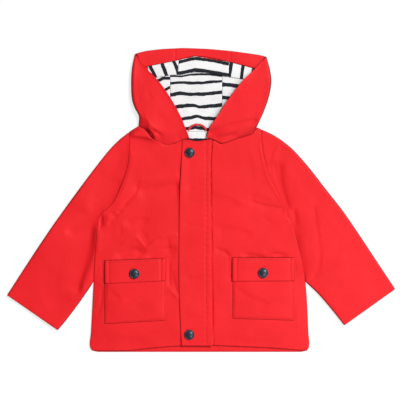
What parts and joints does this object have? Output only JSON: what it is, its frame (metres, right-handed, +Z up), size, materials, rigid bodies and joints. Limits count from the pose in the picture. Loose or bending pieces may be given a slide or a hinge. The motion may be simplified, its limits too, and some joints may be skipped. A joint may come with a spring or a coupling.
{
  "type": "rain jacket",
  "caption": "Toddler's hooded rain jacket laid flat on its back: striped hood lining, storm flap over the front, flap pockets and cap snaps.",
  "frame": {"origin": "on the surface it lies on, under the middle of its bounding box", "axes": "+Z up from the surface; +Y from the hem to the hood; +X to the wearer's left, along the line from cuff to cuff"},
  "size_m": [0.5831, 0.4565, 0.0126],
  "materials": {
    "outer_cloth": "coated cloth, satin",
    "striped_jersey": "knitted, matt, off-white with navy stripes",
    "loop_tape": "woven tape, matt",
    "snap_cap": "semi-gloss enamel"
  },
  "bodies": {
    "root": {"back_panel": "outer_cloth", "right_front": "outer_cloth", "left_front": "outer_cloth", "storm_flap": "outer_cloth", "pocket_right": "outer_cloth", "pocket_left": "outer_cloth", "pocket_flap_right": "outer_cloth", "pocket_flap_left": "outer_cloth", "sleeve_right": "outer_cloth", "sleeve_left": "outer_cloth", "hood_centre": "outer_cloth", "hood_side_right": "outer_cloth", "hood_side_left": "outer_cloth", "hood_facing": "outer_cloth", "hood_lining_centre": "striped_jersey", "hood_lining_right": "striped_jersey", "hood_lining_left": "striped_jersey", "neck_lining": "striped_jersey", "hanger_loop": "loop_tape", "snap_top": "snap_cap", "snap_hem": "snap_cap", "snap_pocket_right": "snap_cap", "snap_pocket_left": "snap_cap"}
  },
  "joints": []
}
